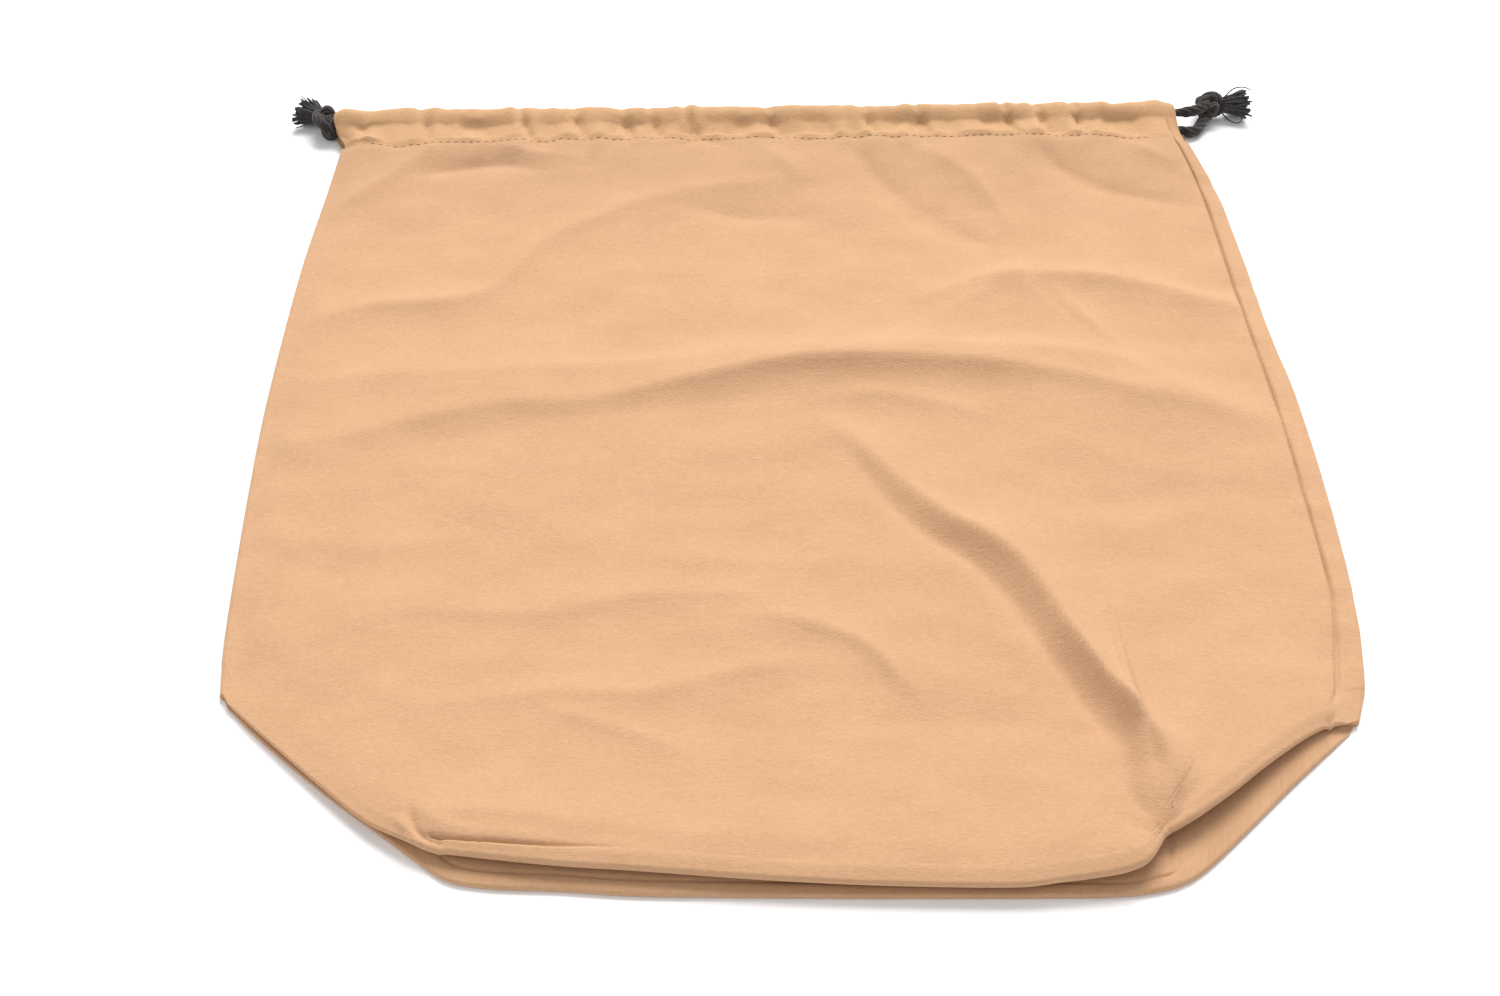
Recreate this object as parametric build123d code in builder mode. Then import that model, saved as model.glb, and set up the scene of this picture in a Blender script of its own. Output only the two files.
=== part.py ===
"""A drawstring shoe bag in brushed cotton, lying empty and flat.

+X is to the right, +Y towards the mouth and +Z up. The origin is on the table, under the middle of the bag.
The bag is a tube of two panels, sewn up each side, with a rectangular base sewn into its lower end. Laid flat,
the base folds inward along its long centreline, so the lower corners show as 45 degree folds and a deep pocket
opens between the front and back layers. At the mouth, each panel is turned over into a casing. Two drawcords run
through both casings, one knotted at each end of the mouth. Each goes in along one casing, turns round the far end
of the mouth and comes back along the other.
"""

import os
from math import atan2, pi, radians, sqrt, tan

from build123d import *

# Cloth and cord
cloth = 0.8
cord_diameter = 4.0
slip = 0.3  # clearance of a cord inside its tunnel
apart = 0.3  # clearance between pieces that slide past each other

# The bag, laid flat
body_width = 366.0
body_length = 420.0
base_length = 222.0
base_depth = body_width - base_length  # half the tube's girth is one length and one depth of the base

# Seams
seam_inset = 8.0  # the side seams lie this far in from the edges
base_lip = 5.0  # the seams along the base lie this far in from its two folds
seam_width = 7.0  # two allowances pressed open

# Mouth
casing_depth = 20.0
casing_round = 3.0
hem_length = 13.0
hem_rim = 2.0
mouth_gap = 4.8
slope_length = 24.0  # over this length the front panel climbs to its casing
slope_margin = 6.0
slope_radius = 12.0
thread_width = 0.5
thread_height = 0.3
thread_inset = 1.4

# Drawcords
left_cord_y = 206.0
cord_clear = 4.2  # a cord runs straight for this far past the casing's end
right_cord_y = 200.0
knot_core = 4.0
knot_turn = 3.3  # radius of a turn of cord round the knot
tassel_length = 12.0
tassel_root = 2.4
tassel_mouth = 4.6
left_knot_at = (-193.0, 203.0, 5.5)
right_knot_at = (196.0, 208.0, 5.5)
left_tassel_lean = 142.0  # degrees from +X, seen from above
right_tassel_lean = 2.0

# Derived places
half_width = body_width / 2
half_base = base_length / 2
mouth_y = body_length / 2
base_y = -mouth_y
crease_y = base_y + base_depth / 2
casing_y = mouth_y - casing_depth
slope_end = casing_y - slope_margin
slope_start = slope_end - slope_length

tunnel = cord_diameter + 2 * slip
casing_height = tunnel + 2 * cloth
casing_reach = half_width - hem_length - apart  # the casings end here, and the turned-in hems begin
front_level = casing_height + mouth_gap  # underside of the front panel
top_level = front_level + casing_height
front_wall = front_level + cloth / 2  # middle of the front casing's inner wall
back_wall = casing_height - cloth / 2  # middle of the back casing's inner wall
climb = casing_height - cloth
bend = tan(atan2(climb, slope_length) / 2)  # how far a parallel line's corner shifts, per unit of offset

back_cord_z = cloth + tunnel / 2
front_cord_z = front_level + cloth + tunnel / 2
turn_radius = (front_cord_z - back_cord_z) / 2
turn_reach = half_width - hem_rim - slip - cord_diameter / 2 - 0.2  # centreline at the far side of a turn

PLAN = [
    (half_base, base_y),
    (half_width, crease_y),
    (half_width, casing_y),
    (-half_width, casing_y),
    (-half_width, crease_y),
    (-half_base, base_y),
]

# Heights of the flat layers at the base, as (outer sheet, seam space, inner sheet), each (low, high)
LAYERS = {
    "front": (
        (front_level, front_level + cloth),
        (front_level - cloth, front_level),
        (front_level - 2 * cloth, front_level - cloth),
    ),
    "back": ((0, cloth), (cloth, 2 * cloth), (2 * cloth, 3 * cloth)),
}


def slab(outline, low, high):
    """A flat piece with this plan, between two heights."""
    with BuildPart() as piece:
        with BuildSketch(Plane.XY.offset(low)):
            with BuildLine():
                Polyline(*outline, close=True)
            make_face()
        extrude(amount=high - low)
    return piece.part


def strip(x_low, x_high, y_low, y_high, low, high):
    """A rectangular flat piece between two heights."""
    return slab([(x_low, y_low), (x_high, y_low), (x_high, y_high), (x_low, y_high)], low, high)


def climbing_sheet(x_low, x_high, y_low, depth):
    """Cloth that lies flat under the front panel's top face by depth, then climbs to the casing."""
    shift = bend * depth
    with BuildPart() as piece:
        with BuildSketch(Plane.YZ.offset(x_low)):
            with BuildLine():
                FilletPolyline(
                    (y_low, front_level + cloth - depth),
                    (slope_start + shift, front_level + cloth - depth),
                    (slope_end + shift, top_level - depth),
                    (casing_y, top_level - depth),
                    radius=slope_radius,
                )
            trace(line_width=cloth)
        extrude(amount=x_high - x_low)
    return piece.part


def outer_sheet(layer, x_one, x_two):
    """The part of an outer layer between two places across the bag, with its corners cut along the folds."""
    x_low, x_high = sorted((x_one, x_two))
    with BuildPart() as piece:
        if layer == "front":
            add(climbing_sheet(x_low, x_high, base_y, cloth / 2))
        else:
            add(strip(x_low, x_high, base_y, casing_y, 0, cloth))
        add(slab(PLAN, 0, top_level), mode=Mode.INTERSECT)
    return piece.part


def mirrored(outline, side):
    """An outline drawn for the right side, on the given side."""
    return [(side * x, y) for x, y in outline]


def corner_fold(layer, side, near, far):
    """Cloth that turns round a 45 degree corner fold, from one layer to the other, between two distances from
    the middle of the bag."""
    width = cloth * sqrt(2)
    y_near = base_y + near - half_base
    y_far = base_y + far - half_base
    outline = [(near, y_near), (far, y_far), (far, y_far + width), (near, y_near + width)]
    return slab(mirrored(outline, side), *LAYERS[layer][1])


def corner_triangle(layer, side, top_y):
    """The corner of a panel that is folded in, up to top_y."""
    reach = half_base + top_y - base_y
    outline = [(half_base, base_y), (reach, top_y), (half_base, top_y)]
    return slab(mirrored(outline, side), *LAYERS[layer][2])


def make_panel(own, other, wrap):
    """One panel: its own layer, and the strip past the edge at side wrap, where it turns onto the other layer."""
    seam_x = half_width - seam_inset
    seam_y = crease_y - seam_inset
    front_middle = front_level + cloth / 2
    top_middle = top_level - cloth / 2
    with BuildPart() as panel:
        add(outer_sheet(own, wrap * half_width, -wrap * seam_x))
        add(outer_sheet(other, wrap * half_width, wrap * seam_x))

        # The edge of the bag, where the cloth turns from one layer to the other
        with BuildSketch(Plane.YZ.offset(wrap * half_width)):
            with BuildLine():
                Polyline(
                    (crease_y, cloth / 2),
                    (casing_y, cloth / 2),
                    (casing_y, top_middle),
                    (slope_end, top_middle),
                    (slope_start, front_middle),
                    (crease_y, front_middle),
                    close=True,
                )
            make_face()
        extrude(amount=-wrap * cloth)

        # The corner folded in on the wrapped side, its crease, and the strip past the crease
        add(corner_fold(own, wrap, half_base, half_width))
        add(corner_fold(other, wrap, seam_x, half_width))
        add(corner_triangle(own, wrap, crease_y))
        past = [(half_base, seam_y), (seam_x, seam_y), (half_width, crease_y), (half_base, crease_y)]
        add(slab(mirrored(past, wrap), *LAYERS[other][2]))
        crease = [
            (half_base, crease_y - cloth),
            (half_width, crease_y - cloth),
            (half_width, crease_y),
            (half_base, crease_y),
        ]
        add(slab(mirrored(crease, wrap), LAYERS["back"][2][0], LAYERS["front"][2][1]))

        # The corner folded in on the other side, as far as the side seam
        add(corner_fold(own, -wrap, half_base, seam_x))
        add(corner_triangle(own, -wrap, seam_y))

        # The lower edge: the base panel wraps the front's fold, and the back panel wraps its own
        low, high = LAYERS[own][0]
        lip_y = base_y + base_lip
        if own == "front":
            add(strip(-half_base, half_base, base_y, lip_y, low, high), mode=Mode.SUBTRACT)
        else:
            add(strip(-half_base, half_base, base_y, base_y + cloth, *LAYERS[own][1]))
            add(strip(-half_base, half_base, base_y, lip_y, *LAYERS[own][2]))
    return panel.part


def side_seam(layer, side):
    """Allowances of a side seam, up the outer layer and along the inner crease to the end of the base."""
    half_seam = seam_width / 2
    low, high = LAYERS[layer][1]
    seam_x = half_width - seam_inset
    seam_y = crease_y - seam_inset
    fold = cloth * sqrt(2)
    y_low = seam_y + half_seam + fold
    x_low, x_high = sorted((side * (seam_x - half_seam), side * (seam_x + half_seam)))
    foot = [
        (half_base + half_seam, seam_y - half_seam),
        (seam_x - half_seam - fold, seam_y - half_seam),
        (seam_x + half_seam, y_low),
        (seam_x - half_seam, y_low),
        (seam_x - half_seam, seam_y + half_seam),
        (half_base + half_seam, seam_y + half_seam),
    ]
    with BuildPart() as seam:
        add(slab(mirrored(foot, side), low, high))
        if layer == "front":
            add(climbing_sheet(x_low, x_high, y_low, 1.5 * cloth))
        else:
            add(strip(x_low, x_high, y_low, casing_y, low, high))
    return seam.part


def base_seam(layer):
    """Allowances of the seam along one long side of the base."""
    low, high = LAYERS[layer][1]
    y_middle = base_y + base_lip
    return strip(-half_base, half_base, y_middle - seam_width / 2, y_middle + seam_width / 2, low, high)


def base_end_seam(side):
    """Allowances of the seam at one end of the base, folded in half at the inner crease."""
    x_low, x_high = sorted((side * (half_base - seam_width / 2), side * (half_base + seam_width / 2)))
    y_low = base_y + base_lip + seam_width / 2
    y_high = crease_y + cloth
    front = LAYERS["front"][1]
    back = LAYERS["back"][1]
    with BuildPart() as seam:
        add(strip(x_low, x_high, y_low, y_high, *front))
        add(strip(x_low, x_high, y_low, y_high, *back))
        add(strip(x_low, x_high, crease_y, y_high, back[0], front[1]))
    return seam.part


def casing_tube(x_low, x_high, y_low, low):
    """A length of casing: the turned-over hem, round at the mouth and closed at the thread row."""
    depth = mouth_y - y_low
    middle = low + casing_height / 2
    with BuildPart() as tube:
        with BuildSketch(Plane.YZ.offset(x_low)) as section:
            with Locations((y_low + depth / 2, middle)):
                Rectangle(depth, casing_height)
            fillet(section.vertices().group_by(Axis.X)[-1], radius=casing_round)
            offset(amount=-cloth, mode=Mode.SUBTRACT)
        extrude(amount=x_high - x_low)
    return tube.part


def make_hem(side, low, wall, turn_y):
    """The turned-in end of a casing. Its inner wall is cut away where a cord turns round to the other casing."""
    x_low, x_high = sorted((side * (half_width - hem_length), side * half_width))
    notch_low, notch_high = sorted((side * (half_width - hem_length), side * (half_width - hem_rim)))
    reach = cord_diameter / 2 + 2 * slip
    deep = cord_diameter / 2
    with BuildPart() as hem:
        add(casing_tube(x_low, x_high, casing_y + apart, low))
        add(
            strip(notch_low, notch_high, turn_y - reach, turn_y + reach, wall - deep, wall + deep),
            mode=Mode.SUBTRACT,
        )
    return hem.part


def thread_row(low):
    """The thread that closes a casing."""
    y_low = casing_y + thread_inset - thread_width / 2
    return strip(-casing_reach, casing_reach, y_low, y_low + thread_width, low, low + thread_height)


def cord_route(side, y, knot_at):
    """Corners of a drawcord's centreline, from its knot on one side round the far end of the mouth and back."""
    knot_x, knot_y, knot_z = knot_at
    outside = side * (half_width + cord_clear)
    far = -side * turn_reach
    return [
        (knot_x - side * 1.5, knot_y - 1.5, knot_z + 1.5),
        (outside, y, front_cord_z),
        (far, y, front_cord_z),
        (far, y, back_cord_z),
        (outside, y, back_cord_z),
        (knot_x - side * 1.5, knot_y + 1.5, knot_z - 1.5),
    ]


def corner_radii(route, widest):
    """A radius for each corner, as large as its two runs allow, up to widest, and half the turn at the far end."""
    points = [Vector(*p) for p in route]
    radii = []
    for before, corner, after in zip(points, points[1:], points[2:]):
        arriving = corner - before
        leaving = after - corner
        turn = arriving.get_angle(leaving)
        shorter = min(arriving.length, leaving.length)
        radii.append(min(widest, 0.45 * shorter / tan(radians(turn) / 2)))
    return radii


def make_drawcord(side, y, knot_at):
    """A drawcord's tube: straight in the casings, with tangent arcs where it leaves them and turns round."""
    route = cord_route(side, y, knot_at)
    radii = corner_radii(route, 3 * cord_diameter)
    radii[1] = radii[2] = 0.98 * turn_radius
    with BuildPart() as cord:
        with BuildLine():
            path = FilletPolyline(*route, radius=radii)
        with BuildSketch(Plane(origin=path @ 0, z_dir=path % 0)):
            Circle(cord_diameter / 2)
        sweep()
    expected = pi * cord_diameter**2 / 4 * path.length
    print("cord radii", [round(r, 1) for r in radii], "length", round(path.length, 1))
    print("cord volume over section times length", round(cord.part.volume / expected, 4))
    return cord.part


def make_knot(at, lean):
    """An overhand knot: a core with two turns of cord round it, crossing."""
    with BuildPart() as knot:
        with Locations(Location(at, (0, 0, lean))):
            Sphere(knot_core)
            with Locations(Location((-1.8, 0, 0), (0, 78, 12)), Location((1.8, 0, 0), (0, 102, -14))):
                Torus(knot_turn, cord_diameter / 2)
    return knot.part


def make_tassel(at, lean):
    """The frayed ends past a knot, spreading like a brush."""
    start = Plane(origin=at, x_dir=(0, 0, 1), z_dir=Vector(1, 0, 0).rotate(Axis.Z, lean)).offset(knot_core)
    with BuildPart() as tassel:
        with BuildSketch(start):
            Circle(tassel_root)
        with BuildSketch(start.offset(tassel_length)):
            Circle(tassel_mouth)
        loft()
    return tassel.part


with BuildPart() as front_panel:
    add(make_panel("front", "back", -1))

with BuildPart() as back_panel:
    add(make_panel("back", "front", 1))

with BuildPart() as base_panel:
    with BuildSketch(Plane.YZ.offset(-half_base)):
        outer_y = base_y + cloth / 2
        inner_y = crease_y - cloth / 2
        front_outer = front_level + cloth / 2
        front_inner = front_level - 1.5 * cloth
        back_inner = 2.5 * cloth
        with BuildLine():
            Polyline(
                (base_y + base_lip, front_outer),
                (outer_y, front_outer),
                (outer_y, front_inner),
                (inner_y, front_inner),
                (inner_y, back_inner),
                (base_y + base_lip, back_inner),
            )
        trace(line_width=cloth)
    extrude(amount=base_length)

with BuildPart() as front_casing:
    add(casing_tube(-casing_reach, casing_reach, casing_y, front_level))

with BuildPart() as back_casing:
    add(casing_tube(-casing_reach, casing_reach, casing_y, 0))

with BuildPart() as front_left_hem:
    add(make_hem(-1, front_level, front_wall, right_cord_y))

with BuildPart() as back_left_hem:
    add(make_hem(-1, 0, back_wall, right_cord_y))

with BuildPart() as front_right_hem:
    add(make_hem(1, front_level, front_wall, left_cord_y))

with BuildPart() as back_right_hem:
    add(make_hem(1, 0, back_wall, left_cord_y))

with BuildPart() as front_casing_stitching:
    add(thread_row(top_level))

with BuildPart() as back_casing_stitching:
    add(thread_row(casing_height))

with BuildPart() as right_side_seam:
    add(side_seam("front", 1))

with BuildPart() as left_side_seam:
    add(side_seam("back", -1))

with BuildPart() as front_base_seam:
    add(base_seam("front"))

with BuildPart() as back_base_seam:
    add(base_seam("back"))

with BuildPart() as left_base_end_seam:
    add(base_end_seam(-1))

with BuildPart() as right_base_end_seam:
    add(base_end_seam(1))

with BuildPart() as left_drawcord:
    add(make_drawcord(-1, left_cord_y, left_knot_at))

with BuildPart() as right_drawcord:
    add(make_drawcord(1, right_cord_y, right_knot_at))

with BuildPart() as left_knot:
    add(make_knot(left_knot_at, left_tassel_lean))

with BuildPart() as right_knot:
    add(make_knot(right_knot_at, right_tassel_lean))

with BuildPart() as left_tassel:
    add(make_tassel(left_knot_at, left_tassel_lean))
    add(left_knot.part, mode=Mode.SUBTRACT)

with BuildPart() as right_tassel:
    add(make_tassel(right_knot_at, right_tassel_lean))
    add(right_knot.part, mode=Mode.SUBTRACT)

os.makedirs("parts", exist_ok=True)
PIECES = {
    "front_panel": front_panel,
    "back_panel": back_panel,
    "base_panel": base_panel,
    "front_casing": front_casing,
    "back_casing": back_casing,
    "front_casing_stitching": front_casing_stitching,
    "back_casing_stitching": back_casing_stitching,
    "front_left_hem": front_left_hem,
    "back_left_hem": back_left_hem,
    "front_right_hem": front_right_hem,
    "back_right_hem": back_right_hem,
    "right_side_seam": right_side_seam,
    "left_side_seam": left_side_seam,
    "front_base_seam": front_base_seam,
    "back_base_seam": back_base_seam,
    "left_base_end_seam": left_base_end_seam,
    "right_base_end_seam": right_base_end_seam,
    "left_drawcord": left_drawcord,
    "right_drawcord": right_drawcord,
    "left_knot": left_knot,
    "right_knot": right_knot,
    "left_tassel": left_tassel,
    "right_tassel": right_tassel,
}
for name, piece in PIECES.items():
    piece.part.label = name
    export_step(piece.part, f"parts/{name}.step")
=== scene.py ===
"""The looks of a drawstring shoe bag in brushed cotton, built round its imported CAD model.

The cloth is worked out as one closed surface: the front sheet, the base folded inward between the
layers, the back sheet, the rolled sides and the two casings. It is then cut into the pieces of cloth
along their seams, and each piece gets its thickness. Everything is in millimetres until a mesh is made.
"""

from math import cos, pi, radians, sin

import bpy
import numpy as np
from mathutils import Matrix, Vector


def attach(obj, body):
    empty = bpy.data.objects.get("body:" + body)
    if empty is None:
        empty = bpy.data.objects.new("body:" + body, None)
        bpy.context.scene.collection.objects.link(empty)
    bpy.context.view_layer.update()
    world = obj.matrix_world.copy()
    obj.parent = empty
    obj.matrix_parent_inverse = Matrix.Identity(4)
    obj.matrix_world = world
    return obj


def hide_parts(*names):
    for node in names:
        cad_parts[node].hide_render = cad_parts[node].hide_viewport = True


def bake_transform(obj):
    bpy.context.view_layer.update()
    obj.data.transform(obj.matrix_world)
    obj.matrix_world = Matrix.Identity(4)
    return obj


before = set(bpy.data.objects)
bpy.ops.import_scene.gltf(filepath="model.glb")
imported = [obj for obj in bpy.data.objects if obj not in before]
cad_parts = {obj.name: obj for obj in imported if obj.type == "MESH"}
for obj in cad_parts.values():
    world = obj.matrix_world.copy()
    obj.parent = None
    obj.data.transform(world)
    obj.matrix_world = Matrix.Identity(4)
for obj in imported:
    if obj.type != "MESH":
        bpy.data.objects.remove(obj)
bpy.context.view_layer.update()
rng = np.random.default_rng(11)

MM = 0.001
CLOTH = 0.7
UP = np.array([0.0, 0.0, 1.0])


# Camera, floor and light -------------------------------------


SENSOR, LENS = 36, 51.6
CAMERA_AT = (-0.024, -0.602, 0.5081)
LOOKS_DOWN, TURNS_RIGHT = 42, 1.2
WORLD_LIGHT = 0.55
PAPER = (0.98, 0.98, 0.98, 1)


def make_camera():
    data = bpy.data.cameras.new("camera")
    data.sensor_width = SENSOR
    data.lens = LENS
    camera = bpy.data.objects.new("camera", data)
    camera.location = CAMERA_AT
    camera.rotation_euler = (radians(90 - LOOKS_DOWN), 0, -radians(TURNS_RIGHT))
    bpy.context.scene.collection.objects.link(camera)
    bpy.context.scene.camera = camera


def area_light(name, place, size, power):
    """A rectangular light that faces the bag."""
    data = bpy.data.lights.new(name, "AREA")
    data.shape = "RECTANGLE"
    data.size, data.size_y = size
    data.energy = power
    light = bpy.data.objects.new(name, data)
    light.location = place
    light.rotation_euler = (-Vector(place)).to_track_quat("-Z", "Y").to_euler()
    bpy.context.scene.collection.objects.link(light)


def make_room():
    scene = bpy.context.scene
    scene.view_settings.view_transform = "Standard"
    scene.view_settings.look = "None"
    world = bpy.data.worlds.new("studio")
    world.use_nodes = True
    background = world.node_tree.nodes["Background"]
    background.inputs["Color"].default_value = (1, 1, 1, 1)
    background.inputs["Strength"].default_value = WORLD_LIGHT
    scene.world = world
    area_light("key", place=(0.78, 3.28, 3.82), size=(3.75, 2.8), power=345)
    area_light("fill", place=(-1.0, -1.6, 2.0), size=(2.0, 2.0), power=10)
    bpy.ops.mesh.primitive_plane_add(size=12, location=(0, 0, 0))
    floor = bpy.context.object
    floor.name = "floor"
    material = bpy.data.materials.new("paper")
    material.use_nodes = True
    shader = material.node_tree.nodes["Principled BSDF"]
    shader.inputs["Base Color"].default_value = PAPER
    shader.inputs["Roughness"].default_value = 0.9
    shader.inputs["Specular IOR Level"].default_value = 0.1
    floor.data.materials.append(material)


make_camera()
make_room()


# Materials ---------------------------------------------------


FIBRE = (0.80, 0.60, 0.40, 1)
BLACK = (0, 0, 0, 1)


class Nodes:
    """A short way to add nodes to a material."""

    def __init__(self, name):
        self.material = bpy.data.materials.new(name)
        self.material.use_nodes = True
        self.tree = self.material.node_tree
        self.shader = self.tree.nodes["Principled BSDF"]

    def add(self, kind, settings=None, **inputs):
        node = self.tree.nodes.new("ShaderNode" + kind)
        for key, value in (settings or {}).items():
            setattr(node, key, value)
        for key, value in inputs.items():
            socket = node.inputs[key.replace("_", " ")]
            self.feed(value, socket)
        return node

    def feed(self, value, socket):
        if isinstance(value, bpy.types.NodeSocket):
            self.tree.links.new(value, socket)
        else:
            socket.default_value = value

    def math(self, operation, *values):
        node = self.tree.nodes.new("ShaderNodeMath")
        node.operation = operation
        for socket, value in zip(node.inputs, values):
            self.feed(value, socket)
        return node.outputs[0]

    def mix(self, share, one, other):
        node = self.tree.nodes.new("ShaderNodeMix")
        node.data_type = "RGBA"
        self.feed(share, node.inputs["Factor"])
        self.feed(one, node.inputs["A"])
        self.feed(other, node.inputs["B"])
        return node.outputs["Result"]

    def noise(self, place, scale, detail, stretch=(1, 1, 1), rough=0.5):
        mapping = self.add("Mapping", Vector=place, Scale=stretch)
        node = self.add("TexNoise", Vector=mapping.outputs[0], Scale=scale, Detail=detail, Roughness=rough)
        return node.outputs["Fac"]

    def ramp(self, value, low, high, top=1.0):
        """From 0 where the value is low, to top where it is high."""
        node = self.add("MapRange", Value=value, From_Min=low, From_Max=high, To_Min=0.0, To_Max=top)
        return node.outputs[0]

    def blend(self, *shares):
        """The sum of some values, each times its share."""
        parts = [self.math("MULTIPLY", value, share) for value, share in shares]
        total = parts[0]
        for part in parts[1:]:
            total = self.math("ADD", total, part)
        return total

    def raised(self, height, strength, distance):
        node = self.add("Bump", Height=height, Strength=strength, Distance=distance)
        self.feed(node.outputs[0], self.shader.inputs["Normal"])

    def surface(self, **values):
        for key, value in values.items():
            self.shader.inputs[key.replace("_", " ")].default_value = value


def flannel(name, light, dark, mouth_shade=0.0):
    """Brushed cotton: a nap combed across the bag over a fine twill, with clouded colour and loose
    fibres. Painted shade darkens the colour towards the mouth, as far as the given share."""
    m = Nodes(name)
    place = m.add("UVMap", {"uv_map": "cloth"}).outputs[0]
    nap = m.noise(place, 1150, 4, (0.55, 1.0, 1.0), 0.65)
    tufts = m.noise(place, 480, 3, (0.60, 1.0, 1.0))
    clouds = m.noise(place, 60, 4, (0.7, 1.0, 1.0))
    grain = m.noise(place, 2600, 2)
    fibres = m.noise(place, 700, 5, (1.0, 1.3, 1.0), 0.7)
    shade = m.blend((nap, 0.50), (tufts, 0.22), (clouds, 0.28))
    colour = m.mix(m.ramp(shade, 0.34, 0.68), dark, light)
    colour = m.mix(m.ramp(fibres, 0.66, 0.76, 0.4), colour, FIBRE)
    from_mouth = m.add("SeparateXYZ", Vector=place).outputs["Y"]
    # Painted shade: the colour darkens towards the mouth, where the cloth lies in shade
    colour = m.mix(m.ramp(from_mouth, -0.075, -0.012, mouth_shade), colour, BLACK)
    m.feed(colour, m.shader.inputs["Base Color"])
    m.raised(m.blend((nap, 0.60), (tufts, 0.36), (grain, 0.22)), 0.5, 0.0008)
    m.surface(Roughness=0.96, Specular_IOR_Level=0.08)
    m.surface(Sheen_Weight=0.22, Sheen_Roughness=0.55, Sheen_Tint=(1.0, 0.86, 0.70, 1))
    return m.material


def yarn(name, light, dark, scale, sheen):
    """Dull cotton yarn, in tones that vary from fibre to fibre."""
    m = Nodes(name)
    place = m.add("TexCoord").outputs["Object"]
    streaks = m.noise(place, scale, 5, (1, 1, 1), 0.65)
    clumps = m.noise(place, scale * 0.22, 2)
    shade = m.blend((streaks, 0.7), (clumps, 0.3))
    m.feed(m.mix(m.ramp(shade, 0.35, 0.68), dark, light), m.shader.inputs["Base Color"])
    m.raised(streaks, 0.7, 0.0004)
    m.surface(Roughness=0.92, Specular_IOR_Level=0.15, Sheen_Weight=sheen, Sheen_Roughness=0.5)
    return m.material


# How much painted shade darkens the tan flannel towards the mouth
PAINTED_MOUTH_SHADE = 0.09
TAN = flannel("tan_flannel", (0.625, 0.373, 0.215, 1), (0.510, 0.293, 0.159, 1), PAINTED_MOUTH_SHADE)
TAN_CASING = flannel("tan_flannel_casing", (0.605, 0.364, 0.198, 1), (0.490, 0.283, 0.143, 1))
TAN_INSIDE = flannel("tan_flannel_seams", (0.565, 0.326, 0.165, 1), (0.425, 0.231, 0.106, 1))
THREAD = yarn("tan_thread", (0.60, 0.36, 0.20, 1), (0.44, 0.26, 0.13, 1), 3000, 0.1)
CHARCOAL = yarn("charcoal_cord", (0.060, 0.047, 0.044, 1), (0.016, 0.012, 0.012, 1), 1500, 0.25)
FRAYED = yarn("frayed_cotton", (0.070, 0.064, 0.060, 1), (0.018, 0.018, 0.018, 1), 1800, 0.25)


# Curves, noise and folds -------------------------------------


def through(points, count):
    """A smooth curve through points, which may themselves be arrays, as count of its points."""
    points = np.asarray(points, float)
    slopes = np.gradient(points, axis=0)
    at = np.linspace(0, len(points) - 1, count)
    i = np.minimum(at.astype(int), len(points) - 2)
    t = (at - i).reshape(-1, *[1] * (points.ndim - 1))
    one, other = points[i], points[i + 1]
    return (
        one * (1 + 2 * t) * (1 - t) ** 2
        + slopes[i] * t * (1 - t) ** 2
        + other * t**2 * (3 - 2 * t)
        - slopes[i + 1] * t**2 * (1 - t)
    )


def graph(*points):
    """The second number of each point as a smooth function of the first."""
    dense = through(points, 30 * len(points))
    order = np.argsort(dense[:, 0])
    return lambda t: np.interp(t, dense[order, 0], dense[order, 1])


def smooth(t):
    t = np.clip(t, 0, 1)
    return t * t * (3 - 2 * t)


def rough(x, y, size, seed):
    """Smooth random numbers of about -1 to 1 over the plane, in lumps of the given size."""
    table = np.random.default_rng(seed).uniform(-1, 1, (96, 96))
    u, v = np.asarray(x) / size + 48, np.asarray(y) / size + 48
    i, j = np.floor(u).astype(int), np.floor(v).astype(int)
    a, b = smooth(u - i), smooth(v - j)
    i, j = i % 95, j % 95
    low = table[i, j] * (1 - a) + table[i + 1, j] * a
    high = table[i, j + 1] * (1 - a) + table[i + 1, j + 1] * a
    return low * (1 - b) + high * b


def fold(x, y, behind, before, *points):
    """How far a fold lifts the cloth at x, y. Its crest runs through points of (x, y, height), and it
    falls away over the distance behind on the crest's left and before on its right."""
    line = through(points, 6 * len(points)) if len(points) > 2 else np.array(points, float)
    nearest = np.full(np.shape(x), np.inf)
    left = np.zeros(np.shape(x), bool)
    height = np.zeros(np.shape(x))
    for (ax, ay, ah), (bx, by, bh) in zip(line, line[1:]):
        dx, dy = bx - ax, by - ay
        t = np.clip(((x - ax) * dx + (y - ay) * dy) / (dx * dx + dy * dy), 0, 1)
        off_x, off_y = x - ax - t * dx, y - ay - t * dy
        away = off_x**2 + off_y**2
        closer = away < nearest
        nearest = np.where(closer, away, nearest)
        left = np.where(closer, dx * off_y - dy * off_x > 0, left)
        height = np.where(closer, ah + t * (bh - ah), height)
    width = 0.75 * np.where(left, behind, before)
    blunt = 0.25 * width
    return height * np.exp((blunt - np.sqrt(nearest + blunt**2)) / width)


def folds(x, y, rows):
    """How far a table of folds lifts the cloth at x, y."""
    return sum(fold(x, y, *row) for row in rows)


# The outline of the bag --------------------------------------

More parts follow.
